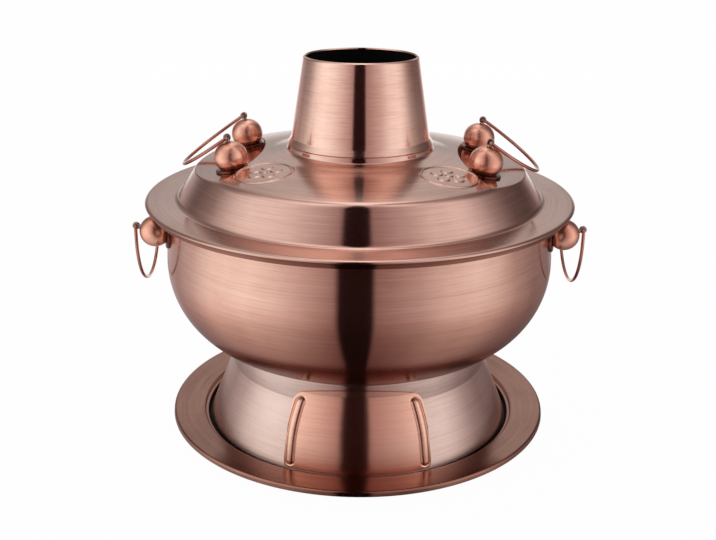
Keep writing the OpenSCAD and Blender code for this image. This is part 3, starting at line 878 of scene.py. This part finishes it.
def on_pad(side, y):
    """The matrix (mm) of a lid handle part: its origin is on the pad, and local Z square to it."""
    return (Matrix.Rotation(lid_turn + turn[side], 4, "Z")
            @ Matrix.Translation((lid_base.x, y, lid_base.z))
            @ Matrix.Rotation(pad_tilt, 4, "Y"))


def lid_seat():
    """A thin disc with a rounded edge."""
    return spun([Vector(p) for p in (
        (hole_r, 0.02), (seat_r - 0.3, 0.02), (seat_r, 0.3), (seat_r, seat_t - 0.5),
        (seat_r - 0.15, seat_t - 0.15), (seat_r - 0.5, seat_t), (hole_r, seat_t))], 120)


def lid_knob():
    """A ball with a flat foot, a little fuller round its middle."""
    foot_at = math.acos(-ball_flat / ball_r)
    arc = [Vector(((ball_r + ball_fuller) * math.sin(a), lid_ball_up + ball_r * math.cos(a)))
           for a in [foot_at * i / 56 for i in range(57)]]
    arc[0].x = 0
    return spun(arc + [Vector((0, lid_ball_up - ball_flat))], 96)


piece("lid_discs", joined([moved(lid_seat(), on_pad(s, y)) for s in turn
                           for y in (-ball_y, ball_y)]),
      "lid", washer_plate_shade, ["lid_seats"])
for side, y, where in four_balls:
    piece("lid_knob_" + where, moved(lid_knob(), on_pad(side, y)), "lid", ball_plate,
          ["lid_ball_" + where])
lid_eye_up = lid_ball_up + eye["up"]
piece("lid_eyes", joined([moved(eyebolt(lid_shank_low, lid_eye_up), on_pad(s, y))
                          for s in turn for y in (-ball_y, ball_y)]),
      "lid", eye_metal, ["lid_eyebolts"])
finish_nodes(bright_zinc, "lid_washers", "lid_nuts")
for side in turn:
    lie = (Matrix.Rotation(lid_turn + turn[side], 4, "Z")
           @ Matrix.Translation((lid_base.x + lid_eye_up * math.sin(pad_tilt), 0,
                                 lid_base.z + lid_eye_up * math.cos(pad_tilt)))
           @ Matrix.Rotation(lid_bail_droop, 4, "Y"))
    piece("lid_wire_" + side, moved(wire_bail(lid_bail_reach), lie), "lid_bail_" + side,
          wire_plate, ["lid_bail_" + side])


# ---- Chimney ---------------------------------------------------------------------------
# A slim spun cone that drops over the lid's collar. Its foot is flared, its mouth is turned
# in, and its inside is coloured matt black.

chimney_foot = (57.3, 235.1)
chimney_brim = (44.9, 301.1)
chimney_slope = 0.157
chimney_face = bent([
    chimney_foot,
    (54.6, 239.5, 3),
    (*chimney_brim, 1.5),
    (43.3, 302)])
chimney_plate = copper_plate("Copper plated steel, lathe brushed chimney", (0, 1),
                             "#f6d2c3", "#edc4b2", "#ddb29f", gloss=0.16)
chimney = piece("chimney_shell", spun(sheet_outline(chimney_face, sheet_t)), "chimney",
                chimney_plate, ["chimney"])
# The chimney's inside is coloured near black and matt.
chimney_lining_black = dark_grainy_metal("Matt black lining over copper plate", "#060505", "#120f0e")
second_material_inside(chimney, chimney_lining_black, lambda r, z: z < chimney_brim[1] + 0.1 and (
    r < chimney_foot[0] - 2 * sheet_t - chimney_slope * (z - chimney_foot[1])))


# ---- Studio ----------------------------------------------------------------------------
# A white floor inside a light tent that only reflections show. Its cloth glows by the way it
# faces: bright to both sides and at the back, dimmer between them, with a dark gap at the
# camera and a dim band low at the back. The camera itself sees only white.

# (degrees round from the front, level), then (degrees up, level) in front and at the back.
ring_levels = (
    (-180, 1.02), (-164, 1.0), (-150, 0.5), (-125, 0.38), (-108, 0.6), (-92, 0.94),
    (-68, 1.03), (-50, 0.9), (-34, 0.68), (-18, 0.44), (-14.5, 0.38), (-11.5, 0.012),
    (7.5, 0.012), (9.5, 0.35), (18, 0.42), (34, 0.58), (52, 0.86), (70, 0.93), (84, 0.74),
    (98, 0.46), (116, 0.28), (138, 0.22), (150, 0.45), (164, 1.04), (180, 1.02))
front_levels = ((0, 1.0), (30, 1.0), (46, 0.84), (60, 0.9), (75, 1.15), (90, 1.2))
rear_levels = ((0, 1.0), (7, 0.85), (14, 0.34), (24, 0.5), (31, 0.56), (41, 0.46),
               (49, 0.76), (57, 1.1), (70, 1.2), (90, 1.2))
tent_gain = 1.17
front_warmth, back_warmth = 0.35, 0.2
floor_centre_y = -0.09
# The pot's shadow painted into the floor's glow for reflections: its level near the pot, and the
# reach in m over which it fades; the shifts make it reach further in front and to the right.
floor_near_level, floor_near_m = 0.45, (0.1, 0.4)
floor_shift_x, floor_shift_y = -0.12, 0.5


def up_levels(stops):
    """Plain grey levels by height, as stops of a colour ramp."""
    return [(d / 90, (level, level, level, 1)) for d, level in stops]


def round_levels(stops):
    """Levels round the pot as stops of a colour ramp, warmer where they are dim."""
    shades = []
    for d, level in stops:
        share = (d + 180) / 360
        warm = level ** (1 + (front_warmth if 0.3 < share < 0.72 else back_warmth))
        shades.append((share, (level, warm, warm, 1)))
    return shades


def tent_light(name, is_floor):
    """A glow that goes by the direction round the pot, as a tent's lit cloth does.

    The floor glows in the same directions for reflections, and the pot's shadow is painted into
    that glow: dimmer near the pot, most in front and to the right. It is plain white paper to
    the camera.
    """
    made = bpy.data.materials.new(name)
    made.use_nodes = True
    made.node_tree.nodes.clear()
    place = add(made, "ShaderNodeTexCoord").outputs["Object"]
    xyz = add(made, "ShaderNodeSeparateXYZ", _0=place).outputs
    toward = maths(made, "MULTIPLY_ADD", xyz["Y"], -1.0, floor_centre_y if is_floor else 0.0)
    azimuth = maths(made, "ARCTAN2", xyz["X"], toward)
    ring = ramp(made, span(made, azimuth, -math.pi, math.pi, 0.0, 1.0),
                round_levels(ring_levels))
    flat = add(made, "ShaderNodeCombineXYZ", X=xyz["X"], Y=xyz["Y"]).outputs[0]
    away = add(made, "ShaderNodeVectorMath", {"operation": "LENGTH"}, _0=flat).outputs["Value"]
    if is_floor:
        reach = maths(made, "MULTIPLY_ADD", xyz["X"], floor_shift_x, away)
        reach = maths(made, "MULTIPLY_ADD", xyz["Y"], floor_shift_y, reach)
        strength = span(made, reach, *floor_near_m, floor_near_level, 1.0)
    else:
        up = span(made, maths(made, "ARCTAN2", xyz["Z"], away), 0.0, math.pi / 2, 0.0, 1.0)
        back = span(made, maths(made, "ABSOLUTE", azimuth), math.radians(80), math.radians(110),
                    0.0, 1.0)
        strength = add(made, "ShaderNodeMix", {"data_type": "FLOAT"}, _0=back,
                       _2=ramp(made, up, up_levels(front_levels)),
                       _3=ramp(made, up, up_levels(rear_levels))).outputs[0]
    shown = add(made, "ShaderNodeEmission", Color=ring,
                Strength=maths(made, "MULTIPLY", strength, tent_gain)).outputs[0]
    if is_floor:
        rays = add(made, "ShaderNodeLightPath").outputs
        paper = add(made, "ShaderNodeBsdfDiffuse", Color=(0.93, 0.93, 0.93, 1)).outputs[0]
        white = add(made, "ShaderNodeEmission", Strength=1.0).outputs[0]
        kept = add(made, "ShaderNodeMixShader", Fac=0.98, _1=paper, _2=white).outputs[0]
        shown = add(made, "ShaderNodeMixShader", Fac=rays["Is Glossy Ray"], _1=kept,
                    _2=shown).outputs[0]
    add(made, "ShaderNodeOutputMaterial", Surface=shown)
    return made


def stage_mesh(name, verts, faces, material):
    """A mesh of the studio, in metres."""
    mesh = bpy.data.meshes.new(name)
    mesh.from_pydata(verts, [], faces)
    mesh.materials.append(material)
    thing = bpy.data.objects.new(name, mesh)
    bpy.context.collection.objects.link(thing)
    return thing


stage_mesh("floor", [(-6, -6, 0), (6, -6, 0), (6, 6, 0), (-6, 6, 0)], [(0, 1, 2, 3)],
           tent_light("White floor", True))
tent_rows = ((1.9, 0.01), (1.9, 1.2), (1.6, 1.9), (0.9, 2.35), (0.25, 2.5))
tent_steps = 180
tent_verts, tent_faces = [], []
for radius, z in tent_rows:
    for i in range(tent_steps):
        a = 2 * math.pi * i / tent_steps
        tent_verts.append((radius * math.sin(a), -radius * math.cos(a), z))
for j in range(len(tent_rows) - 1):
    low, high = j * tent_steps, (j + 1) * tent_steps
    for i in range(tent_steps):
        n = (i + 1) % tent_steps
        tent_faces.append((low + i, low + n, high + n, high + i))
tent = stage_mesh("tent", tent_verts, tent_faces, tent_light("Lit tent cloth", False))
tent.visible_camera = False

# The world is white to the camera and to reflections, and a softer fill for everything else.
fill_level = 0.6
world = bpy.data.worlds.new("White studio")
bpy.context.scene.world = world
world.use_nodes = True
rays = add(world, "ShaderNodeLightPath").outputs
straight = maths(world, "MAXIMUM", rays["Is Camera Ray"], rays["Is Glossy Ray"])
straight = maths(world, "MAXIMUM", straight, rays["Is Transmission Ray"])
feed(world, world.node_tree.nodes["Background"], Color=(1, 1, 1, 1),
     Strength=span(world, straight, 0.0, 1.0, fill_level, 1.0))

# The camera was solved from the ellipses of the rims in the photograph.
lens = bpy.data.cameras.new("camera")
lens.sensor_width = 36
lens.lens = 51.44
lens.shift_x = 0.0009
lens.clip_start = 0.01
camera = bpy.data.objects.new("camera", lens)
bpy.context.collection.objects.link(camera)
camera.matrix_world = (Matrix.Translation((-1.44 * mm, -796.56 * mm, 412.14 * mm))
                       @ Matrix.Rotation(math.radians(90 - 19.739), 4, "X")
                       @ Matrix.Rotation(math.radians(0.542), 4, "Z"))
bpy.context.scene.camera = camera
bpy.context.scene.view_settings.view_transform = "Standard"
